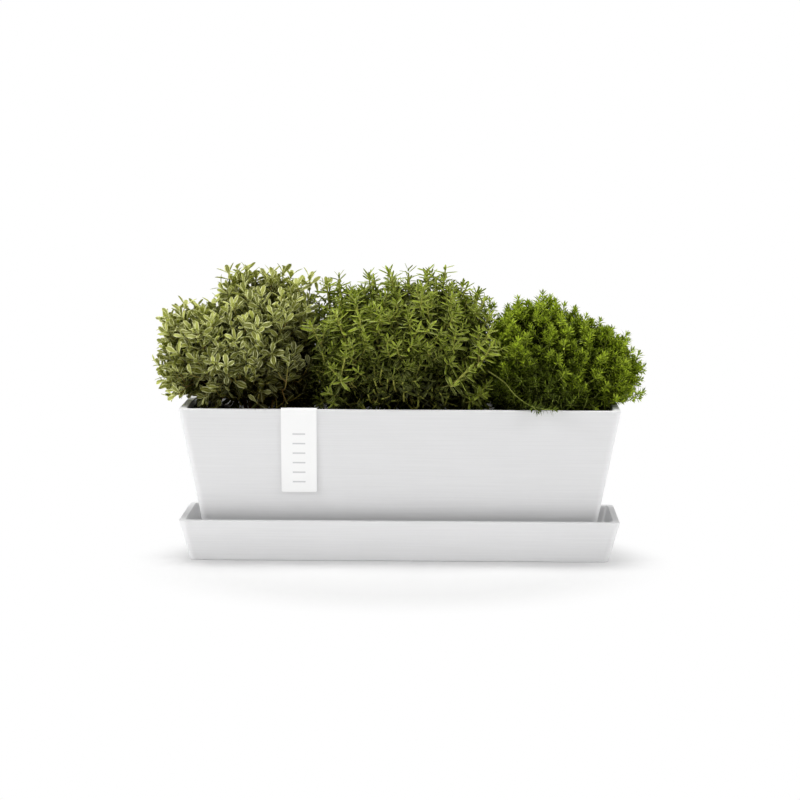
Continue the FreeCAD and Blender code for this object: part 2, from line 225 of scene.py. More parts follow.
half = FLOOR_SIZE / 2
corners = [(-half, -half, 0), (half, -half, 0), (half, half, 0), (-half, half, 0)]
floor_mesh = bpy.data.meshes.new("studio_floor")
floor_mesh.from_pydata(corners, [], [(0, 1, 2, 3)])
floor = bpy.data.objects.new("studio_floor", floor_mesh)
scene.collection.objects.link(floor)
finish, nodes = new_finish("white_sweep")
lit = nodes.node("ShaderNodeBsdfDiffuse", {"Color": FLOOR_WHITE})
near = nodes.node("ShaderNodeBsdfDiffuse", {"Color": FLOOR_SEEN})
plain = nodes.node("ShaderNodeEmission", {"Color": WHITE, "Strength": 1.0})
place = nodes.vector("MULTIPLY_ADD", on_piece(nodes), SHADOW_SCALE, SHADOW_SHIFT)
away = nodes.vector("LENGTH", place, output="Value")
seen = nodes.mix(away.ease(*SHADOW_REACH), near, plain)
ends_in(nodes, nodes.mix(seen_plainly(nodes), lit, seen))
floor_mesh.materials.append(finish)

for name, place, power in LAMPS:
    lamp = bpy.data.lights.new(name, "AREA")
    lamp.size, lamp.energy = LAMP_WIDTH, power
    holder = bpy.data.objects.new(name, lamp)
    holder.location = place
    toward = LAMP_AIM - holder.location
    holder.rotation_euler = toward.to_track_quat("-Z", "Y").to_euler()
    scene.collection.objects.link(holder)


# Drip tray: an injection moulding of pale grey recycled plastic that the trough stands
# in. Its walls carry the fine level streaks of the mould and are dull all over.
TRAY_GREY = (0.775, 0.775, 0.78, 1)
STREAK_TONE = 0.95
STREAK_STRETCH, CLOUD_STRETCH = (16, 16, 900), (1, 1, 3)
CLOUD_SCALE, GRAIN_SCALE = 14.0, 2600.0
STREAK_SHARE = 0.7
PLASTIC_RELIEF = (0.25, 0.0002)


def dimmed(colour, share):
    """A darker tone of a colour."""
    return (*(part * share for part in colour[:3]), 1)


def surface(nodes, colour, rough, normal, shine=0.5):
    """An opaque surface with this colour, roughness and normal."""
    sockets = {"Base Color": colour, "Roughness": rough, "Normal": normal}
    sockets["Specular IOR Level"] = shine
    return nodes.node("ShaderNodeBsdfPrincipled", sockets)


def moulded_plastic(name, grey):
    """Dull pale plastic with fine level streaks, faint clouds and a fine grain."""
    finish, nodes = new_finish(name)
    place = on_piece(nodes)
    streaks = place.times(STREAK_STRETCH).noise(1.0, 2.0)
    clouds = place.times(CLOUD_STRETCH).noise(CLOUD_SCALE)
    grain = place.noise(GRAIN_SCALE, 1.0)
    marks = streaks * STREAK_SHARE + clouds * (1 - STREAK_SHARE)
    colour = marks.ease(0.25, 0.75).blend(dimmed(grey, STREAK_TONE), grey)
    uneven = streaks * STREAK_SHARE + grain * (1 - STREAK_SHARE)
    ends_in(nodes, surface(nodes, colour, clouds * 0.12 + 0.5, uneven.bump(*PLASTIC_RELIEF)))
    return finish


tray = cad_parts["drip_tray"]
tray.material_slots[0].material = moulded_plastic("tray_plastic", TRAY_GREY)


# Trough: the same plastic and mould marks, painted a shade darker than the tray as painted
# shade. It tapers down into the tray, where it stands on four low feet, and drains through
# three holes in its floor.
TROUGH_SHADED_GREY = (0.75, 0.75, 0.755, 1)

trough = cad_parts["planter_box"]
trough.material_slots[0].material = moulded_plastic("trough_plastic", TROUGH_SHADED_GREY)


# Tag: one strip of white card creased twice over the front rim, a little proud of the
# wall at its foot. Its front leaf has blank ruled lines, its back leaf is in the soil.
CARD_WHITE, INK_GREY = (0.93, 0.93, 0.925, 1), (0.60, 0.60, 0.61, 1)
FIBRE_TONE, FIBRE_SCALE, FIBRE_RELIEF = 0.97, 900.0, (0.15, 0.0001)
CARD_THICK, CREASE = 0.0006, 0.0009
WALL_LEAN = math.radians(10.8)
WALL_ACROSS = 0.0062 / math.cos(WALL_LEAN)
RIM_TOP, RIM_HALF_WIDTH = 0.1248, 0.060
CARD_OFF_WALL, FOOT_LIFT = 0.0003, 0.0007
FRONT_LEAF, BACK_LEAF = 0.0683, 0.044
TAG_CORNER = 0.0014
TAG_STEPS = np.concatenate(
    (np.linspace(0, 0.02, 6, endpoint=False), np.linspace(0.02, 1, 14, endpoint=False))
)
CREASE_STEPS = 6
RULE_SIDES, RULE_ENDS = (0.32, 0.68), (0.10, 0.72)
RULE_GAP, RULE_THICK = 0.116, 0.14


def mesh_of(name, finish, points, triangles, smooth=True, uvs=None):
    """A mesh object from arrays, with the flat layouts that uvs names."""
    mesh = bpy.data.meshes.new(name)
    count = len(triangles)
    mesh.vertices.add(len(points))
    mesh.vertices.foreach_set("co", np.asarray(points, np.float32).ravel())
    mesh.loops.add(3 * count)
    mesh.loops.foreach_set("vertex_index", np.asarray(triangles, np.int32).ravel())
    mesh.polygons.add(count)
    mesh.polygons.foreach_set("loop_start", np.arange(0, 3 * count, 3, dtype=np.int32))
    mesh.polygons.foreach_set("use_smooth", np.full(count, smooth))
    mesh.update(calc_edges=True)
    for layer, spots in (uvs or {}).items():
        mesh.uv_layers.new(name=layer).data.foreach_set("uv", spots[triangles].ravel())
    mesh.validate()
    mesh.materials.append(finish)
    piece = bpy.data.objects.new(name, mesh)
    scene.collection.objects.link(piece)
    return piece


def strip_faces(rows, columns, closed=False):
    """Triangles between the rows of a grid of points, closed round its columns or not."""
    wide = columns if closed else columns - 1
    faces = []
    for i in range(rows - 1):
        for j in range(wide):
            a, b = i * columns + j, i * columns + (j + 1) % columns
            c, d = b + columns, a + columns
            faces += [(a, b, c), (a, c, d)]
    return faces


def steps_along(line):
    """How far along a line each of its points is."""
    return np.concatenate(([0], np.cumsum(np.linalg.norm(np.diff(line, axis=0), axis=1))))


tag_low, tag_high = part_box("hang_tag")
slope = np.array((math.sin(WALL_LEAN), -math.cos(WALL_LEAN)))
out_of_wall = np.array((-math.cos(WALL_LEAN), -math.sin(WALL_LEAN)))
inward = np.array((1.0, 0))
off_rim = np.array((0, CARD_OFF_WALL))
front_top = np.array((-RIM_HALF_WIDTH, RIM_TOP)) + CARD_OFF_WALL * out_of_wall
back_top = np.array((-RIM_HALF_WIDTH + WALL_ACROSS, RIM_TOP)) - CARD_OFF_WALL * out_of_wall
path, outward = [], []
for down in 1 - TAG_STEPS:
    run = down * (FRONT_LEAF / math.cos(WALL_LEAN) - CREASE) + CREASE
    path.append(front_top + slope * run + out_of_wall * FOOT_LIFT * down**2)
    outward.append(out_of_wall)
creases = ((front_top + off_rim, -slope, inward), (back_top + off_rim, inward, slope))
for corner, way_in, way_out in creases:
    for t in np.linspace(0, 1, CREASE_STEPS + 1):
        start, end = corner - way_in * CREASE, corner + way_out * CREASE
        path.append((1 - t) ** 2 * start + 2 * t * (1 - t) * corner + t**2 * end)
        heading = (1 - t) * way_in + t * way_out
        heading /= np.linalg.norm(heading)
        outward.append(np.array((-heading[1], heading[0])))
for down in (1 - TAG_STEPS)[::-1]:
    run = down * (BACK_LEAF / math.cos(WALL_LEAN) - CREASE) + CREASE
    path.append(back_top + slope * run)
    outward.append(-out_of_wall)
walked = steps_along(path)
from_end = np.minimum(walked, walked[-1] - walked)
short = np.clip(TAG_CORNER - from_end, 0, TAG_CORNER)
insets = TAG_CORNER - np.sqrt(TAG_CORNER**2 - short**2)
middle, half_tag = (tag_low.x + tag_high.x) / 2, (tag_high.x - tag_low.x) / 2
points, spots = [], []
for (y, z), (out_y, out_z), inset, run in zip(path, outward, insets, walked):
    wide = half_tag - inset
    for side, off in ((-1, CARD_THICK), (1, CARD_THICK), (1, 0), (-1, 0)):
        points.append((middle + side * wide, y + out_y * off, z + out_z * off))
        spots.append((0.5 + side * wide / half_tag / 2, run / walked[-1]))
faces = strip_faces(len(path), 4, closed=True)
last = len(points) - 4
faces += [(0, 3, 2), (0, 2, 1), (last, last + 1, last + 2), (last, last + 2, last + 3)]

finish, nodes = new_finish("printed_card")
side, along = nodes.node("ShaderNodeUVMap", settings={"uv_map": "Card"}).split()
along = along * ((FRONT_LEAF + BACK_LEAF + WALL_ACROSS) / FRONT_LEAF)
rule = nodes.maths("FRACT", along * (1 / RULE_GAP)) < RULE_THICK
ink = side.within(*RULE_SIDES) * along.within(*RULE_ENDS) * rule
fibres = on_piece(nodes).noise(FIBRE_SCALE)
paper = fibres.blend(dimmed(CARD_WHITE, FIBRE_TONE), CARD_WHITE)
colour = ink.blend(paper, INK_GREY)
ends_in(nodes, surface(nodes, colour, 0.6, fibres.bump(*FIBRE_RELIEF)))
tag = mesh_of("folded_card_tag", finish, points, faces, False, {"Card": np.array(spots)})
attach(tag, "tag")
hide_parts("hang_tag")


# Potting soil: damp dark peat with bark crumbs and a few pale grains, filled to a finger
# below the rim and heaped a little at both ends. It reaches down to the trough's floor.
SOIL_DARK, SOIL_BROWN = (0.012, 0.008, 0.005, 1), (0.07, 0.042, 0.024, 1)
GRAIN_PALE = (0.45, 0.42, 0.36, 1)
CRUMBLE, GRAIN_NOISE, GRAIN_EDGE = (420.0, 5.0, 0.7), (750.0, 0.0), 0.02
PEAT_RELIEF = (0.8, 0.0008)
SOIL_STEPS = (150, 46)
SOIL_RELIEF = ((0.022, 0.0011), (0.007, 0.0009), (0.0025, 0.0006))
SOIL_SUNK, SOIL_SPREAD = 0.0006, (-0.001, 0.002)
HEAP, HEAP_RISE = (0.125, 0.158), 0.0085
LUMP_GRID, LUMP_START = 256, 100
CRUMBS, CRUMB_SIZES, CRUMB_ROUGH = 620, (0.0006, 0.0019), (0.75, 1.15)
CRUMB_RISE, SOIL_ROOM = 0.3, 0.985
SOIL_SEED = 11


def lumps(x, y, cell, seed):
    """Smooth random relief from -1 to 1 with lumps of this size."""
    heights = np.random.default_rng(seed).uniform(-1, 1, (LUMP_GRID, LUMP_GRID))
    u, v = x / cell + LUMP_START, y / cell + LUMP_START
    i, j = np.floor(u).astype(int), np.floor(v).astype(int)
    a, b = u - i, v - j
    a, b = a * a * (3 - 2 * a), b * b * (3 - 2 * b)
    i, j, k, m = (part % LUMP_GRID for part in (i, j, i + 1, j + 1))
    near = heights[i, j] * (1 - a) + heights[k, j] * a
    far = heights[i, m] * (1 - a) + heights[k, m] * a
    return near * (1 - b) + far * b


def relief(x, y, seed):
    """The soil's unevenness at these places, with more soil heaped at both ends."""
    start, stop = HEAP
    near_end = np.clip((np.abs(x) - start) / (stop - start), 0, 1)
    heaped = HEAP_RISE * near_end**2 * (3 - 2 * near_end)
    return heaped + sum(
        size * lumps(x, y, cell, seed + i) for i, (cell, size) in enumerate(SOIL_RELIEF)
    )


def potting_mix(name, dark, brown, pale_above):
    """Damp crumbly peat, with pale grains where the noise is above a limit."""
    finish, nodes = new_finish(name)
    place = on_piece(nodes)
    crumbly = place.noise(*CRUMBLE)
    grains = place.noise(*GRAIN_NOISE).ease(pale_above, pale_above + GRAIN_EDGE)
    colour = grains.blend(crumbly.ease(0.35, 0.75).blend(dark, brown), GRAIN_PALE)
    ends_in(nodes, surface(nodes, colour, 0.9, crumbly.bump(*PEAT_RELIEF)))
    return finish


def lump_shape():
    """The points and faces of a twenty sided lump."""
    t = (1 + math.sqrt(5)) / 2
    pairs = [(-1, t), (1, t), (-1, -t), (1, -t)]
    points = [(a, b, 0) for a, b in pairs] + [(0, a, b) for a, b in pairs]
    points = np.array(points + [(b, 0, a) for a, b in pairs], float)
    faces = []
    for i, j, k in combinations(range(12), 3):
        a, b, c = points[i], points[j], points[k]
        if max(np.linalg.norm(side) for side in (a - b, b - c, c - a)) < 2.1:
            outward = np.cross(b - a, c - a) @ a > 0
            faces.append((i, j, k) if outward else (i, k, j))
    return points / np.linalg.norm(points[0]), np.array(faces)


def scatter_crumbs(points, faces, count, ground, rough=None):
    """Adds crumbs to a piece's points and faces, on places that ground gives."""
    for _ in range(count):
        size = random.uniform(*CRUMB_SIZES) * random.uniform(0.5, 1, 3)
        x, y, z = ground()
        turn = np.linalg.qr(random.normal(size=(3, 3)))[0]
        crumb = lump * random.uniform(*rough, (12, 1)) if rough else lump
        faces.append(lump_faces + sum(len(part) for part in points))
        points.append((crumb * size) @ turn.T + (x, y, z + size.min() * CRUMB_RISE))


def soil_ground():
    """A random place on the soil."""
    x, y = random.uniform((soil_low.x, soil_low.y), (soil_high.x, soil_high.y)) * SOIL_ROOM
    return x, y, soil_top + relief(x, y, SOIL_SEED)


soil_low, soil_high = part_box("potting_soil")
soil_top, soil_foot = soil_high.z, soil_low.z
lean = math.tan(WALL_LEAN)
random = np.random.default_rng(SOIL_SEED)
columns, rows = SOIL_STEPS
x = np.linspace(soil_low.x, soil_high.x, columns)
y = np.linspace(soil_low.y, soil_high.y, rows)
x, y = (part.ravel() for part in np.meshgrid(x, y))
z = soil_top + relief(x, y, SOIL_SEED)
spread = np.clip((z - soil_top) * lean, *SOIL_SPREAD)
x, y = x * (1 + spread / soil_high.x), y * (1 + spread / soil_high.y)
top = np.stack((x, y, z - SOIL_SUNK), 1)
taper = (soil_top - soil_foot) * lean
under = top * ((soil_high.x - taper) / soil_high.x, (soil_high.y - taper) / soil_high.y, 0)
under[:, 2] = soil_foot
grid = np.array(strip_faces(rows, columns))
base = len(top)
index = np.arange(base).reshape(rows, columns)
ring = np.concatenate((index[0], index[1:, -1], index[-1, -2::-1], index[-2:0:-1, 0]))
after = np.roll(ring, -1)
wall = [np.stack((ring, ring + base, after + base), 1), np.stack((ring, after + base, after), 1)]
points, faces = [top, under], [grid, grid[:, ::-1] + base, *wall]
lump, lump_faces = lump_shape()
scatter_crumbs(points, faces, CRUMBS, soil_ground, CRUMB_ROUGH)
finish = potting_mix("potting_mix", SOIL_DARK, SOIL_BROWN, pale_above=0.70)
soil = mesh_of("potting_soil_bed", finish, np.vstack(points), np.vstack(faces))
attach(soil, "planter")
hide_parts("potting_soil")


# Root balls: the three plugs that the herbs were potted from, peat held together by fine
# roots, tapered by the nursery pot and standing a little proud of the soil round them.
PLUG_DARK, PLUG_BROWN = (0.016, 0.010, 0.006, 1), (0.11, 0.07, 0.04, 1)
PLUG_TURNS, PLUG_RINGS = 72, 16
PLUG_SIDE = (0.05, 0.35, 0.7, 0.94, 1.0)
PLUG_PROUD, PLUG_GAP, PLUG_ROUND = 0.0016, 0.0008, 0.004
PLUG_WAVE, PLUG_WAVES = 0.006, 9
PLUG_RELIEF, PLUG_SEED = 0.8, 31
PLUG_CRUMBS, PLUG_ROOM = 150, 0.95


def plug_ground():
    """A random place on the root ball in hand."""
    out = radius * math.sqrt(random.uniform()) * PLUG_ROOM
    turn = random.uniform(0, 2 * math.pi)
    dome = PLUG_PROUD * (1 - (out / radius) ** 4)
    return centre + out * math.cos(turn), out * math.sin(turn), high.z + dome


finish = potting_mix("rooted_mix", PLUG_DARK, PLUG_BROWN, pale_above=0.74)
turns = np.linspace(0, 2 * math.pi, PLUG_TURNS, endpoint=False)
for number, herb in enumerate(("thyme", "rosemary", "savory")):
    low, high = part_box(f"{herb}_root_ball")
    centre = (low.x + high.x) / 2
    radius, depth = (high.x - low.x) / 2 - PLUG_GAP, high.z - low.z
    points = []
    for step in range(PLUG_RINGS + 1):
        out = radius * (0.02 + 0.98 * step / PLUG_RINGS)
        x, y = centre + out * np.cos(turns), out * np.sin(turns)
        dome = PLUG_PROUD * (1 - (out / radius) ** 4)
        z = high.z + dome + relief(x, y, PLUG_SEED + number) * PLUG_RELIEF
        points.append(np.stack((x, y, z), 1))
    for share in PLUG_SIDE:
        out = radius - share * depth * lean - (PLUG_ROUND if share == 1 else 0)
        out = out * (1 + PLUG_WAVE * np.sin(turns * PLUG_WAVES + share * 20))
        x, y = centre + out * np.cos(turns), out * np.sin(turns)
        points.append(np.stack((x, y, np.full(PLUG_TURNS, high.z - share * depth)), 1))
    points.append(np.array([(centre, 0, high.z + PLUG_PROUD), (centre, 0, low.z)]))
    rings = PLUG_RINGS + 1 + len(PLUG_SIDE)
    faces = [(b, a, c) for a, b, c in strip_faces(rings, PLUG_TURNS, closed=True)]
    last, end = (rings - 1) * PLUG_TURNS, rings * PLUG_TURNS
    for i in range(PLUG_TURNS):
        j = (i + 1) % PLUG_TURNS
        faces += [(end, i, j), (end + 1, last + j, last + i)]
    faces = [np.array(faces)]
    scatter_crumbs(points, faces, PLUG_CRUMBS, plug_ground)
    plug = mesh_of(f"{herb}_root_plug", finish, np.vstack(points), np.vstack(faces))
    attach(plug, "planter")
    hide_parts(f"{herb}_root_ball")


# Left herb, a thyme with cream edged leaves. Its woody stems stand in a ring on the root
# ball and lean apart; leafy shoots grow from them, red brown low down and green above,
# with leaves in crossed pairs that close up into a rosette at each tip.
BUSH_FOOT = soil_top - 0.001
SPARE, NEAREST, FURTHEST = 0.0045, -0.0560, 0.0565
LEAF_LIFT, WALL_GAP = 0.0015, 0.001
OVERHANG_RISE, OVERHANG_ROOM = 0.008, 0.0535
SPRIG_OFF_RIM, SPRIG_OFF_WALL = 0.0006, 0.0008
TAG_LEFT, TAG_RIGHT, TAG_BACK = tag_low.x - 0.0025, tag_high.x + 0.0025, -0.0512
GOLDEN_TURN = math.pi * (3 - math.sqrt(5))
TURN_VARIES, ANGLE_VARIES, GAP_VARIES = 0.14, 0.12, (0.85, 1.15)
LENGTH_VARIES, WIDTH_VARIES, BEND_VARIES = (0.85, 1.12), (0.88, 1.1), (0.4, 1.5)
HALF_DEPTH, ROUNDNESS = 0.054, 2.1
CROWN_SHARE, CROWN_FOOT = 0.50, RIM_TOP + 0.03
SHADE_WIDTH, SHADE_RISE = 0.045, 0.050
BARE_RISE, BARE_FROM = 0.034, -0.012
HOLLOW_X, HOLLOW_WIDTH = -0.074, 0.014
HOLLOW_TOP, HOLLOW_FADE = RIM_TOP + 0.072, 0.03
# How much darker a leaf is painted: for age down its shoot, for age and painted shade
# deep inside its bush, and for painted shade low down and in the hollow between thyme
# and rosemary.
AGE_ALONG, AGE_AND_SHADE_INSIDE, PAINTED_SHADE_LOW, PAINTED_SHADE_HOLLOW = 0.45, 2.2, 0.8, 0.6
AGE_START, AGE_VARIES, AGE_LENGTH = -0.10, 0.08, 0.05
LEAF_TILES, TILE_EDGE = 8, 0.05
MOST_TRIANGLES = 190000
WOOD_RADII, WOOD_AGES = (0.0018, 0.0009), (1.0, 0.75)
WOOD_SIDES, SHOOT_SIDES = 8, 5
LEAF_RELIEF, LEAF_SHINE, LIGHT_THROUGH = (0.4, 0.0003), 0.13, 0.15
BARK_RELIEF, BARK_SHINE = (0.5, 0.0003), 0.2

# A herb's habit, in metres and radians. Its outline is the share of its reach that the
# bush fills, from right round to left, and shade is how far right its shade lies.
THYME = dict(
    leaf=0.0134, tip_leaf=0.80, wide=0.45,
    gap=0.0066, tip_gap=0.0022, spread=0.007,
    tip_angle=0.70, angle=1.15, twist=0.40,
    bend=0.10, lift=0.12, whorl=2, leafy=0.062,
    side_from=0.012, side_every=0.013, side=0.020,
    shoot=(0.00075, 0.0004),
    bare=0.93, shade=0.022,
    reach=0.112,
    outline=(0.45, 0.48, 0.62, 0.98, 1.00, 0.82, 0.94, 0.78, 0.61),
)
# Each shoot's tip and a place lower on it, as the photograph's pixel and a depth in mm.
THYME_SHOOTS = (
    (237, 267, 0, 240, 300, 5), (229, 274, -8, 238, 298, -3),
    (247, 271, 8, 244, 302, 8), (222, 288, -6, 238, 304, -3),
    (256, 277, 12, 252, 304, 12), (265, 277, 4, 266, 306, 6),
    (272, 274, -6, 272, 302, -5), (283, 274, 6, 280, 302, 8),
    (291, 276, 14, 286, 302, 14), (310, 279, -4, 308, 303, -2),
    (297, 286, -12, 300, 306, -8), (185, 306, -5, 182, 323, -3),
    (168, 320, 0, 184, 336, 0), (196, 308, 6, 198, 332, 6),
    (203, 311, -12, 206, 334, -10), (213, 306, -2, 216, 330, 0),
    (220, 301, 10, 224, 324, 10), (170, 346, 10, 184, 362, 8),
    (164, 361, -8, 180, 374, -4), (163, 372, 2, 178, 380, 2),
    (168, 380, -14, 182, 387, -8), (177, 388, 12, 190, 394, 8),
    (174, 371, -26, 186, 386, -22), (181, 398, 0, 194, 400, 0),
    (184, 402, -16, 200, 403, -10), (258, 326, -50, 260, 332, -30),
    (272, 353, -47.5, 269, 360, -28), (227, 366, -50, 230, 374, -30),
    (198, 333, -40, 206, 348, -28), (212, 322, -36, 217, 342, -26),
    (236, 340, -44, 240, 354, -30), (233, 306, -32, 238, 326, -24),
    (250, 301, -30, 253, 322, -22), (281, 312, -34, 276, 332, -24),
    (294, 303, -26, 290, 322, -20), (247, 357, -46, 252, 372, -30),
    (205, 368, -42, 214, 382, -30), (262, 378, -46, 262, 390, -30),
    (214, 388, -44, 224, 397, -30), (312, 392, 18, 298, 398, 14),
    (313, 383, 30, 299, 390, 24), (309, 399, 32, 296, 402, 26),
    (312, 398, -4, 298, 402, -2),
)


def seen_at(x, y, depth):
    """The place that the photograph shows at a pixel, at a depth in millimetres."""
    ray = right * (x - PHOTO_WIDTH / 2) - up * (y - PHOTO_WIDTH / 2) + ahead * LENS_PIXELS
    return np.array(EYE + ray * ((depth / 1000 - EYE.y) / ray.y))


def unit(ways):
    """Directions of length one."""
    return ways / np.linalg.norm(ways, axis=-1, keepdims=True)


def square_to(ways):
    """Two directions square to a line and to each other, all along it."""
    facing = (0, 1.0, 0) if abs(ways[0, 1]) < 0.8 else (0, 0, 1.0)
    side = unit(np.cross(ways, facing))
    return side, np.cross(side, ways)


def smooth_line(stops, step=0.0012):
    """Places along a smooth line through a few stops."""
    stops = np.array(stops)
    ways = np.diff(stops, axis=0)
    spans = np.linalg.norm(ways, axis=1)
    ways = unit(ways)
    headings = np.vstack((ways[:1], unit(ways[1:] + ways[:-1]), ways[-1:]))
    line = []
    for i, span in enumerate(spans):
        t = np.linspace(0, 1, max(3, int(span / step)), endpoint=False)[:, None]
        line.append(
            stops[i] * (1 + 2 * t) * (1 - t) ** 2
            + headings[i] * span * t * (1 - t) ** 2
            + stops[i + 1] * t**2 * (3 - 2 * t)
            + headings[i + 1] * span * t**2 * (t - 1)
        )
    return np.vstack(line + [stops[-1:]])


def at_marks(marks, walked, values):
    """What vectors along a line come to at some marks."""
    return np.stack([np.interp(marks, walked, values[:, i]) for i in range(3)], 1)


def near_to(offsets, width):
    """1 up to half this width away and 0 from one and a half."""
    return np.clip(1.5 - np.abs(offsets) / width, 0, 1)


def stands_clear(places):
    """True where a place is clear of the trough and of the way the tag is pulled out, and
    no further out than the herbs reach."""
    x, y, z = places.T
    over = z - RIM_TOP
    room = (z - soil_top) * lean - WALL_GAP
    inside = (np.abs(x) < soil_high.x + room) & (np.abs(y) < soil_high.y + room)
    steep = (over > OVERHANG_RISE) | (np.abs(y) < OVERHANG_ROOM)
    off_tag = (x < TAG_LEFT) | (x > TAG_RIGHT) | (y > TAG_BACK)
    held = (x > cad_low.x - SPARE) & (x < cad_high.x + SPARE) & (z < cad_high.z + SPARE)
    held &= (y > NEAREST) & (y < FURTHEST)
    return ((over > LEAF_LIFT) | inside) & steep & off_tag & held


def clears_wall(places):
    """True where a place is above the front rim or in front of the wall under it."""
    y, z = places[:, 1], places[:, 2]
    wall = -RIM_HALF_WIDTH + np.clip(RIM_TOP - z, 0, None) * lean
    return (z > RIM_TOP + SPRIG_OFF_RIM) | (y < wall - SPRIG_OFF_WALL)


class Herb:
    """One herb as it grows: the lines of its stems and shoots, and its leaves."""

    def __init__(self, name, habit, seed):
        self.name, self.habit = name, habit
        self.random = np.random.default_rng(seed)
        low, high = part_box(f"{name}_root_ball")
        self.middle = np.array(((low.x + high.x) / 2, 0, RIM_TOP))
        self.stems, self.shoots, self.leaves = [], [], []

    def stand(self, count, ring, spread, rise):
        """Woody stems from the root ball, leaning apart."""
        for i in range(count):
            turn = 2 * math.pi * (i + self.random.uniform(-0.2, 0.2)) / count
            way = np.array((math.cos(turn), math.sin(turn), 0))
            foot = self.middle + way * ring * self.random.uniform(0.5, 1.1)
            foot[2] = BUSH_FOOT
            top = self.middle + way * spread + (0, 0, rise * self.random.uniform(0.85, 1.1))
            knee = foot * 0.55 + top * 0.45 + way * -0.2 * spread + (0, 0, 0.004)
            self.stems.append(smooth_line([foot, knee, top], 0.002))

    def root_of(self, place):
        """Where a shoot to this place leaves its woody stem, and that stem's way there."""
        toward = unit((place - self.middle)[:2] + 1e-6)
        stem = max(self.stems, key=lambda stem: unit((stem[-1] - self.middle)[:2] + 1e-6) @ toward)
        i = min(int(len(stem) * self.random.uniform(0.35, 0.95)), len(stem) - 2)
        return stem[i], unit(stem[i + 1] - stem[i - 1])

    def share(self, place):
        """How far out a place is, from 0 in the crown to 1 at the bush's outline."""
        x, y, z = (place - self.middle).T
        turn, outline = np.arctan2(np.maximum(z, 0), x), self.habit["outline"]
        spots = np.linspace(0, math.pi, len(outline))
        flat = np.hypot(x, z) / (np.interp(turn, spots, outline) * self.habit["reach"])
        return (flat**ROUNDNESS + np.abs(y / HALF_DEPTH) ** ROUNDNESS) ** (1 / ROUNDNESS)

    def shaded(self, places, rise):
        """How shaded a place is: 1 low down in the middle and 0 above this rise."""
        aside = near_to(places[:, 0] - self.middle[0] - self.habit["shade"], SHADE_WIDTH)
        return np.clip(1 - (places[:, 2] - RIM_TOP) / rise, 0, 1) * aside

    def leaf_up(self, line, leafy, size, roll, sides, over_rim):
        """Puts leaves along a shoot from its tip down, and short shoots among them."""
        habit, random = self.habit, self.random
        back = line[::-1]
        walked = steps_along(back)
        leafy = min(leafy, walked[-1] * 0.97)
        marks, mark = [], 0.0
        while mark < leafy:
            marks.append(mark)
            grown = min(1, mark / habit["spread"])
            gap = habit["tip_gap"] + (habit["gap"] - habit["tip_gap"]) * grown
            mark += gap * size**0.5 * random.uniform(*GAP_VARIES)
        marks = np.array(marks)
        places = at_marks(marks, walked, back)
        ways = unit(at_marks(marks, walked, -np.gradient(back, walked, axis=0)))
        side, other = square_to(ways)
        count, whorl = len(marks), habit["whorl"]
        grown = np.clip(marks / habit["spread"], 0, 1)
        roll = random.uniform(0, math.pi) if roll is None else roll
        for k in range(whorl):
            turn = roll + math.pi / whorl * np.arange(count) + 2 * math.pi * k / whorl
            turn = (turn + random.normal(0, TURN_VARIES, count))[:, None]
            out = side * np.cos(turn) + other * np.sin(turn)
            angle = habit["tip_angle"] + (habit["angle"] - habit["tip_angle"]) * grown**0.7
            angle = (angle + random.normal(0, ANGLE_VARIES, count))[:, None]
            along = ways * np.cos(angle) + out * np.sin(angle)
            along = unit(along + (0, 0, habit["lift"]))
            face = ways * np.sin(angle) - out * np.cos(angle)
            face = unit(face - along * np.sum(face * along, 1, keepdims=True))
            twist = random.normal(0, habit["twist"], count)[:, None]
            face = face * np.cos(twist) + np.cross(along, face) * np.sin(twist)
            length = habit["leaf"] * size * (habit["tip_leaf"] * (1 - grown) + grown)
            length *= random.uniform(*LENGTH_VARIES, count)
            wide = habit["wide"] * length * random.uniform(*WIDTH_VARIES, count)
            bend = habit["bend"] * random.uniform(*BEND_VARIES, count)
            age_and_shade, over = marks / AGE_LENGTH, np.full(count, over_rim)
            self.leaves.append((places, along, face, length, wide, bend, age_and_shade, over))
            if sides and k < 2:
                self.side_shoots(marks, places, ways, out, size)

    def side_shoots(self, marks, places, ways, out, size):
        """Short shoots in the corners of some leaves."""
        habit, random = self.habit, self.random
        mark = habit["side_from"] * random.uniform(0.8, 1.3)
        for i, place in enumerate(places):
            if marks[i] < mark:
                continue
            mark = marks[i] + habit["side_every"] * random.uniform(0.7, 1.4)
            long = habit["side"] * random.uniform(0.45, 1.0) * min(1, 0.35 + marks[i] / 0.03)
            way = unit(ways[i] * 0.75 + out[i])
            knee = place + way * long * 0.5
            tip = knee + unit(way + ways[i] * 0.5 + (0, 0, 0.35)) * long * 0.5
            self.grow([place, knee, tip], long, size * 0.85, sides=False)

    def grow(self, stops, leafy, size=1.0, roll=None, sides=True, over_rim=False):
        """One shoot through these stops, if it stands clear."""
        line = smooth_line(stops)
        if over_rim or stands_clear(line).all():
            self.shoots.append((line, size))
            self.leaf_up(line, leafy, size, roll, sides, over_rim)

    def grow_seen(self, shoots):
        """The shoots that the photograph shows."""
        for shoot in shoots:
            tip, neck = seen_at(*shoot[:3]), seen_at(*shoot[3:])
            root, way = self.root_of(neck)
            knee = root + way * np.linalg.norm(neck - root) * 0.4
            self.grow([root, knee, neck, tip], self.habit["leafy"], roll=0.0)

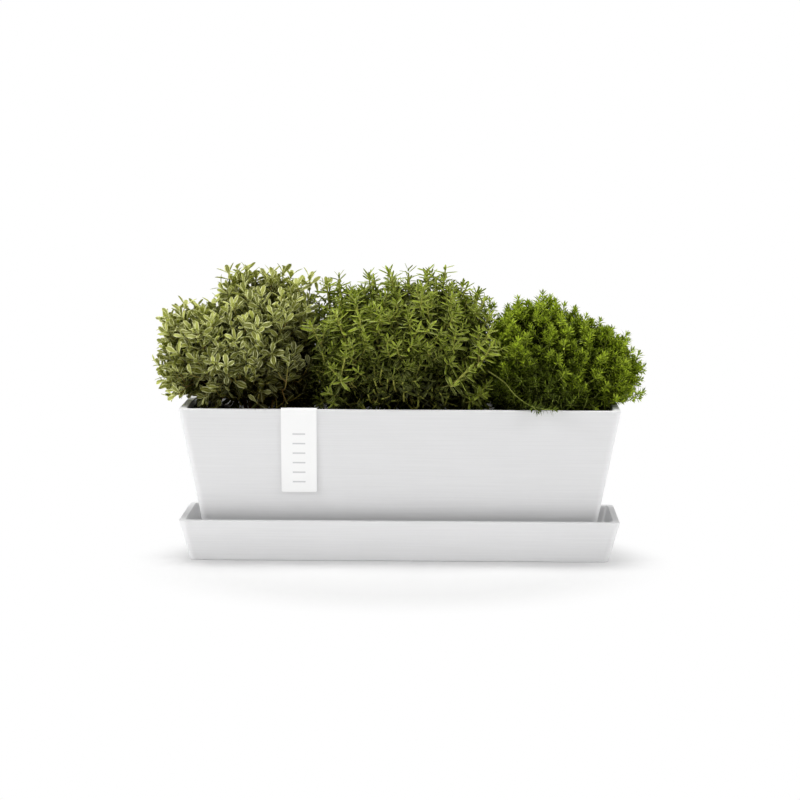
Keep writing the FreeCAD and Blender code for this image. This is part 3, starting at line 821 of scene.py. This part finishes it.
    def fill(self, count, least=0.55, most=0.93, rise=0.5, aside=0.0, low=0.1, thick=1.0):
        """More shoots to all sides or more to one, their tips inside the bush's outline."""
        random = self.random
        for i in range(count):
            high = low + (1 - low) * ((i + random.uniform(0, 1)) / count)
            turn = i * GOLDEN_TURN + random.uniform(-0.2, 0.2)
            flat = math.sqrt(1 - high**2)
            way = np.array((math.cos(turn) * flat, math.sin(turn) * flat, high))
            way = unit((way + (aside, 0, 0)) * (1, thick, 1))
            tip = self.middle + way * random.uniform(least, most) / self.share(self.middle + way)
            heading = unit(way + (0, 0, rise) + random.normal(0, 0.25, 3))
            root, leaving = self.root_of(tip)
            long = np.linalg.norm(tip - root)
            neck = tip - heading * long * 0.4
            knee = root + unit(leaving + unit(neck - root)) * long * 0.3
            self.grow([root, knee, neck, tip], self.habit["leafy"])


def leaf_shape(outline, keel):
    """A leaf's points, as how far along, across and up they are, and its triangles."""
    points, faces, before = [], [], None
    for along, wide in outline:
        if wide:
            row = list(range(len(points), len(points) + 3))
            points += [(along, -wide, keel * wide), (along, 0, 0), (along, wide, keel * wide)]
        else:
            row = [len(points)] * 3
            points.append((along, 0, 0))
        if before:
            for i in range(2):
                a, b, c, d = before[i], before[i + 1], row[i + 1], row[i]
                faces += [face for face in ((a, b, c), (a, c, d)) if len(set(face)) == 3]
        before = row
    return np.array(points), np.array(faces)


def tiled(tile, share):
    """A place in one of the leaf tiles, off its edges."""
    return (tile[:, None] + TILE_EDGE + (1 - 2 * TILE_EDGE) * share) / LEAF_TILES


def leaf_mesh(herb, shape, finish):
    """All the leaves of a herb that stand clear, in a few pieces from left to right. None
    grow in its crown, and low down in the shade in front many have dropped."""
    points, triangles = shape
    parts = [np.concatenate(part) for part in zip(*herb.leaves)]
    base, along, face, length, wide, bend, age_and_shade, over = parts
    tips = base + along * length[:, None]
    middles = (base + tips) / 2
    ok = stands_clear(base) & stands_clear(tips) & stands_clear(middles)
    over &= clears_wall(base) & clears_wall(tips) & clears_wall(middles)
    dropped = herb.habit["bare"] * herb.shaded(base, BARE_RISE) * (base[:, 1] < BARE_FROM)
    ok &= herb.random.uniform(size=len(ok)) > dropped
    ok &= (herb.share(base) > CROWN_SHARE) | (base[:, 2] < CROWN_FOOT)
    order = np.flatnonzero(ok | over)
    order = order[np.argsort(base[order, 0])]
    base, along, face, length, wide, bend, age_and_shade = (part[order] for part in parts[:-1])
    u, v, h = points.T
    length, wide, bend = length[:, None], wide[:, None], bend[:, None]
    place = base[:, None] + along[:, None] * (u * length)[..., None]
    place += np.cross(face, along)[:, None] * (v * wide)[..., None]
    place += face[:, None] * (h * wide - bend * u**2 * length)[..., None]
    # Each leaf's tile row: darker with age down its shoot, with age and painted shade deep inside
    # the bush, and with painted shade low down in its middle and in the hollow.
    deep = np.clip(1.0 - herb.share(base), 0, 1)
    hollow_shade = near_to(base[:, 0] - HOLLOW_X, HOLLOW_WIDTH)
    hollow_shade *= np.clip((HOLLOW_TOP - base[:, 2]) / HOLLOW_FADE, 0, 1)
    age_and_shade = AGE_ALONG * age_and_shade + AGE_AND_SHADE_INSIDE * deep + PAINTED_SHADE_LOW * herb.shaded(base, SHADE_RISE)
    age_and_shade += PAINTED_SHADE_HOLLOW * hollow_shade + AGE_START
    age_and_shade += herb.random.normal(0, AGE_VARIES, len(age_and_shade))
    row = np.floor(np.clip(age_and_shade, 0, 0.99) * LEAF_TILES)
    column = herb.random.integers(0, LEAF_TILES, len(age_and_shade))
    spots = np.stack((tiled(column, 0.5 + 0.5 * np.sign(v)), tiled(row, u)), -1)
    lots = math.ceil(len(base) * len(triangles) / MOST_TRIANGLES)
    for number, lot in enumerate(np.array_split(np.arange(len(base)), lots), 1):
        faces = triangles + len(points) * np.arange(len(lot))[:, None, None]
        layers = {layer: spots[lot].reshape(-1, 2) for layer in ("OFBake", "Leaf")}
        name = f"{herb.name}_leaves_{number}"
        corners = place[lot].reshape(-1, 3)
        piece = mesh_of(name, finish, corners, faces.reshape(-1, 3), uvs=layers)
        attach(piece, "planter")
        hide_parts(f"{herb.name}_foliage")


def tube_mesh(name, lines, sides, finish):
    """One piece of round stems: each has its line, the radius at its foot and at its tip,
    and its age at both, which lays it out in the material."""
    points, faces, spots, count = [], [], [], 0
    around = np.linspace(0, 2 * math.pi, sides, endpoint=False)
    cosine, sine = np.cos(around)[:, None], np.sin(around)[:, None]
    for line, foot, tip, old, young in lines:
        side, other = square_to(unit(np.gradient(line, axis=0)))
        share = np.linspace(0, 1, len(line))[:, None]
        ring = side[:, None] * cosine + other[:, None] * sine
        radius = foot + (tip - foot) * share[..., None]
        points.append((line[:, None] + ring * radius).reshape(-1, 3))
        aged = np.repeat(old + (young - old) * share, sides, 1)
        turned = np.tile(around / 2 / math.pi, (len(line), 1))
        spots.append(np.stack((turned, aged), -1).reshape(-1, 2))
        faces.append(np.array(strip_faces(len(line), sides, closed=True)) + count)
        end = count + (len(line) - 1) * sides
        faces.append(np.array([(end, end + i, end + i + 1) for i in range(1, sides - 1)]))
        count += len(line) * sides
    spots = np.clip(np.vstack(spots), 0.01, 0.99)
    layers = {"OFBake": spots, "Stem": spots}
    piece = mesh_of(name, finish, np.vstack(points), np.vstack(faces), uvs=layers)
    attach(piece, "planter")
    return piece


def leaf_finish(name, young, grown, old, edge, lit, edge_width, rib, rough):
    """A leaf blade laid out in tiles: a row for each step of age and painted shade, whose
    darkest is near black, and columns that differ in brightness. Its edge and middle rib
    are paler, and light comes through."""
    finish, nodes = new_finish(name)
    spot = nodes.node("ShaderNodeUVMap", settings={"uv_map": "Leaf"})
    x, y = (part * LEAF_TILES for part in spot.split())
    column, row = nodes.maths("FLOOR", x), nodes.maths("FLOOR", y)
    side, along = x - column, y - row
    age_and_shade = (row + 0.5) * (1 / LEAF_TILES)
    tone = age_and_shade.ramp(young, 0.35, grown, old)
    bright = nodes.maths("FRACT", column * 0.377 + row * 0.71) * 0.8 + 0.35
    tone = bright.blend(BLACK, tone)
    mottle = spot.noise(70.0, 2.0)
    from_rib = nodes.maths("ABSOLUTE", side - 0.5)
    near_rib = 1 - from_rib.ease(0.0, 0.09)
    near_edge = (from_rib + mottle * 0.16 - 0.08).ease(0.5 - edge_width, 0.5 - edge_width * 0.6)
    near_tip = (along + mottle * 0.1).ease(0.97, 1.02)
    edging = nodes.maths("MAXIMUM", near_edge, near_tip)
    tone = (near_rib * rib).blend(tone, edge)
    # Leaves darkened by age and by painted shade lose their pale edge.
    tone = (edging * (1 - age_and_shade * 1.1)).blend(tone, edge)
    blade = surface(nodes, tone, rough, (mottle - near_rib).bump(*LEAF_RELIEF), LEAF_SHINE)
    through = nodes.node("ShaderNodeBsdfTranslucent", {"Color": lit})
    ends_in(nodes, nodes.mix(LIGHT_THROUGH, blade, through))
    return finish


def shoot_finish(name, old, grown, young):
    """Bark that turns from green to brown as the stem ages, streaked along it."""
    finish, nodes = new_finish(name)
    spot = nodes.node("ShaderNodeUVMap", settings={"uv_map": "Stem"})
    streak = spot.times((9, 26, 1)).noise(1.0, 3.0)
    age_and_shade = spot.split()[1] + streak * 0.2 - 0.1
    tone = age_and_shade.ramp(young, 0.45, grown, old)
    tone = streak.ease(0.35, 0.65).blend(tone.times((0.6, 0.6, 0.6)), tone)
    ends_in(nodes, surface(nodes, tone, 0.6, streak.bump(*BARK_RELIEF), BARK_SHINE))
    return finish


def dress(herb, shape, blade, bark):
    """Makes the herb's pieces: its woody stems, its shoots and its leaves."""
    woody = [(stem, *WOOD_RADII, *WOOD_AGES) for stem in herb.stems]
    piece = tube_mesh(f"{herb.name}_woody_stems", woody, WOOD_SIDES, bark)
    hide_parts(f"{herb.name}_stems")
    thick, thin = herb.habit["shoot"]
    lines = []
    for line, size in herb.shoots:
        every, old = (3, 0.75) if size >= 1 else (4, 0.4)
        lines.append((line[::every], thick * size**2, thin * size, old, 0.0))
    tube_mesh(f"{herb.name}_shoots", lines, SHOOT_SIDES, bark)
    leaf_mesh(herb, shape, blade)


thyme = Herb("thyme", THYME, seed=3)
thyme.stand(8, ring=0.009, spread=0.032, rise=0.034)
thyme.grow_seen(THYME_SHOOTS)
thyme.fill(44, low=0.35)
thyme.fill(84, least=0.82, most=0.98, low=0.45)
thyme.fill(34, least=0.75, aside=0.7, low=0.0)
thyme.fill(10, most=0.88, aside=-0.7)
thyme.fill(30, least=0.3, most=0.6)
thyme.fill(44, least=0.84, most=0.95, low=0.15, thick=0.35)
shape = leaf_shape(((0, 0.05), (0.30, 0.24), (0.58, 0.47), (0.86, 0.36), (1, 0)), keel=0.22)
blade = leaf_finish(
    "thyme_leaf",
    young=(0.60, 0.64, 0.15, 1),
    grown=(0.19, 0.195, 0.009, 1),
    # old: the near black of the oldest leaves and of the painted shade deep in the bush
    old=(0.015, 0.009, 0.0003, 1),
    edge=(0.90, 0.92, 0.48, 1),
    lit=(0.26, 0.30, 0.03, 1),
    edge_width=0.27, rib=0.25, rough=0.42,
)
bark = shoot_finish(
    "thyme_bark", (0.10, 0.045, 0.02, 1), (0.20, 0.085, 0.03, 1), (0.33, 0.30, 0.06, 1)
)
dress(thyme, shape, blade, bark)


# Middle herb, a rosemary: upright wavy shoots, clothed from top to bottom in narrow
# leaves whose edges roll under and show pale. Its newest tips are bright green.
ROSEMARY = dict(
    leaf=0.0118, tip_leaf=0.60, wide=0.25,
    gap=0.0035, tip_gap=0.0011, spread=0.008,
    tip_angle=0.45, angle=1.32, twist=0.30,
    bend=0.30, lift=0.05, whorl=2, leafy=0.085,
    side_from=0.018, side_every=0.030, side=0.024,
    shoot=(0.0011, 0.0007),
    bare=0.80, shade=0.0,
    reach=0.116,
    outline=(0.66, 0.75, 0.82, 1.00, 0.88, 0.93, 0.90, 0.72, 0.68),
)
ROSEMARY_SHOOTS = (
    (339, 277, -2, 342, 302, 0), (327, 284, -10, 330, 306, -6),
    (369, 275, 2, 371, 302, 4), (388, 271, -4, 394, 298, 0),
    (408, 270, -6, 412, 296, -2), (427, 268, 4, 429, 294, 6),
    (446, 265, 0, 443, 292, 2), (467, 287, -6, 458, 308, -2),
    (474, 297, 8, 464, 316, 8), (355, 292, -18, 358, 318, -14),
    (398, 284, 14, 398, 306, 14), (335, 313, -40, 349, 345, -32),
    (310, 324, -36, 326, 350, -28), (345, 355, -50, 345, 384, -38),
    (356, 302, -34, 365, 345, -36), (375, 306, -34, 384, 336, -30),
    (431, 326, -46, 418, 346, -34), (412, 345, -49, 398, 362, -36),
    (456, 332, -40, 448, 358, -30), (470, 369, -50, 444, 387, -40),
    (491, 347, -44, 476, 366, -34), (490, 330, -34, 480, 348, -26),
    (388, 378, -48, 385, 396, -38), (402, 381, -50, 390, 384, -38),
    (372, 338, -40, 376, 362, -34), (408, 308, -32, 410, 332, -26),
    (432, 300, -28, 430, 324, -22), (452, 304, -30, 446, 326, -24),
    (396, 335, -40, 394, 360, -32), (322, 352, -40, 332, 374, -30),
    (428, 362, -44, 420, 384, -34), (487, 386, -34, 474, 396, -26),
    (484, 399, -28, 470, 402, -22), (478, 392, 20, 466, 398, 16),
    (316, 372, -30, 328, 386, -24), (313, 388, -20, 326, 396, -16),
    (318, 398, -30, 330, 402, -24), (488, 366, 16, 474, 376, 14),
    (490, 388, 20, 476, 394, 16), (489, 379, 30, 475, 386, 24),
    (486, 397, 34, 472, 401, 28), (490, 394, -4, 476, 399, -2),
    (479, 293, 0, 472, 310, 2), (485, 300, -12, 476, 316, -8),
    (489, 308, 6, 479, 322, 6), (482, 307, 20, 473, 322, 16),
    (490, 316, -18, 480, 330, -12), (487, 321, 12, 477, 334, 10),
    (314, 390, 24, 328, 396, 20), (315, 380, 32, 328, 388, 26),
    (313, 396, 4, 327, 401, 4),
)

rosemary = Herb("rosemary", ROSEMARY, seed=5)
rosemary.stand(8, ring=0.010, spread=0.034, rise=0.030)
rosemary.grow_seen(ROSEMARY_SHOOTS)
rosemary.fill(80, rise=0.9, low=0.25)
rosemary.fill(120, least=0.85, most=0.99, rise=0.9, low=0.4)
rosemary.fill(40, least=0.75, rise=0.7, aside=0.8, low=0.0)
rosemary.fill(40, least=0.75, rise=0.7, aside=-0.8, low=0.0)
rosemary.fill(40, least=0.3, most=0.6, rise=0.9)
rosemary.fill(60, least=0.88, most=1.0, rise=0.8, low=0.3, thick=0.35)
shape = leaf_shape(((0, 0.14), (0.30, 0.46), (0.80, 0.42), (1, 0)), keel=-0.55)
blade = leaf_finish(
    "rosemary_leaf",
    young=(0.40, 0.50, 0.035, 1),
    grown=(0.075, 0.098, 0.0035, 1),
    # old: the near black of the oldest leaves and of the painted shade deep in the bush
    old=(0.006, 0.004, 0.0002, 1),
    edge=(0.62, 0.66, 0.20, 1),
    lit=(0.17, 0.25, 0.012, 1),
    edge_width=0.20, rib=0.20, rough=0.36,
)
bark = shoot_finish(
    "rosemary_bark", (0.09, 0.055, 0.025, 1), (0.25, 0.20, 0.05, 1), (0.38, 0.40, 0.07, 1)
)
dress(rosemary, shape, blade, bark)


# Right herb, a savory: a dense low dome of thin shoots with tiny leaves that end in
# little stars, and one sprig that lies over the front rim.
SAVORY = dict(
    leaf=0.0070, tip_leaf=0.72, wide=0.29,
    gap=0.0029, tip_gap=0.0009, spread=0.0040,
    tip_angle=0.62, angle=1.15, twist=0.20,
    bend=0.12, lift=0.12, whorl=4, leafy=0.045,
    side_from=0.006, side_every=0.007, side=0.012,
    shoot=(0.0006, 0.0003),
    bare=0.60, shade=-0.020,
    reach=0.090,
    outline=(0.80, 0.98, 0.98, 0.87, 1.00, 0.98, 0.72, 0.55, 0.50),
)
SAVORY_SHOOTS = (
    (490, 301, 0, 492, 320, 0), (508, 307, 6, 510, 326, 6),
    (518, 299, -4, 520, 320, -2), (529, 304, 8, 528, 324, 8),
    (543, 294, -2, 543, 316, 0), (550, 298, 4, 549, 320, 4),
    (564, 306, -4, 560, 326, -2), (575, 309, 4, 570, 328, 4),
    (586, 317, -6, 578, 335, -4), (600, 321, 2, 592, 338, 2),
    (611, 334, -6, 601, 348, -4), (627, 335, 4, 614, 348, 4),
    (624, 348, -12, 612, 360, -8), (638, 366, -4, 624, 374, -2),
    (644, 366, 6, 630, 376, 6), (640, 380, -8, 624, 386, -6),
    (643, 392, 2, 628, 396, 2), (632, 400, -6, 616, 402, -4),
    (566, 374, -51, 540, 395, -38), (518, 341, -40, 516, 358, -32),
    (503, 366, -42, 514, 384, -34), (507, 357, -36, 519, 374, -28),
    (492, 392, -30, 506, 398, -24), (490, 402, -20, 504, 404, -16),
    (494, 380, -24, 508, 388, -20), (492, 366, 6, 506, 376, 6),
    (491, 350, -10, 503, 362, -8), (493, 336, 2, 503, 350, 2),
    (497, 324, -10, 507, 340, -8), (492, 398, 20, 506, 402, 18),
    (491, 385, 30, 505, 392, 26), (492, 392, 36, 506, 398, 30),
    (491, 376, 16, 504, 384, 14), (491, 390, 4, 505, 396, 4),
)
SAVORY_SPRIG = (
    (488, 371, -36), (504, 382, -44), (515, 395, -53),
    (529, 405, -58), (542, 409, -63.5), (554, 410, -65),
)
SPRIG_BRANCH = ((529, 405, -58), (535, 408.5, -63.2), (537, 411, -64))

savory = Herb("savory", SAVORY, seed=7)
savory.stand(9, ring=0.010, spread=0.030, rise=0.026)
savory.grow_seen(SAVORY_SHOOTS)
savory.fill(430, least=0.8, most=0.98, rise=0.6)
savory.fill(110, least=0.7, most=1.0, aside=-1.0, low=0.0)
savory.fill(60, least=0.3, most=0.6)
savory.fill(90, least=0.88, most=1.0, rise=0.6, low=0.15, thick=0.35)
for stops, leafy in ((SAVORY_SPRIG, 0.058), (SPRIG_BRANCH, 0.02)):
    savory.grow([seen_at(*stop) for stop in stops], leafy, 0.95, sides=False, over_rim=True)
shape = leaf_shape(((0, 0), (0.56, 0.47), (1, 0)), keel=0.25)
blade = leaf_finish(
    "savory_leaf",
    young=(0.58, 0.74, 0.045, 1),
    grown=(0.100, 0.145, 0.0035, 1),
    # old: the near black of the oldest leaves and of the painted shade deep in the bush
    old=(0.006, 0.006, 0.0003, 1),
    edge=(0.66, 0.76, 0.16, 1),
    lit=(0.20, 0.29, 0.012, 1),
    edge_width=0.10, rib=0.25, rough=0.42,
)
bark = shoot_finish(
    "savory_bark", (0.11, 0.06, 0.03, 1), (0.26, 0.27, 0.06, 1), (0.42, 0.50, 0.10, 1)
)
dress(savory, shape, blade, bark)
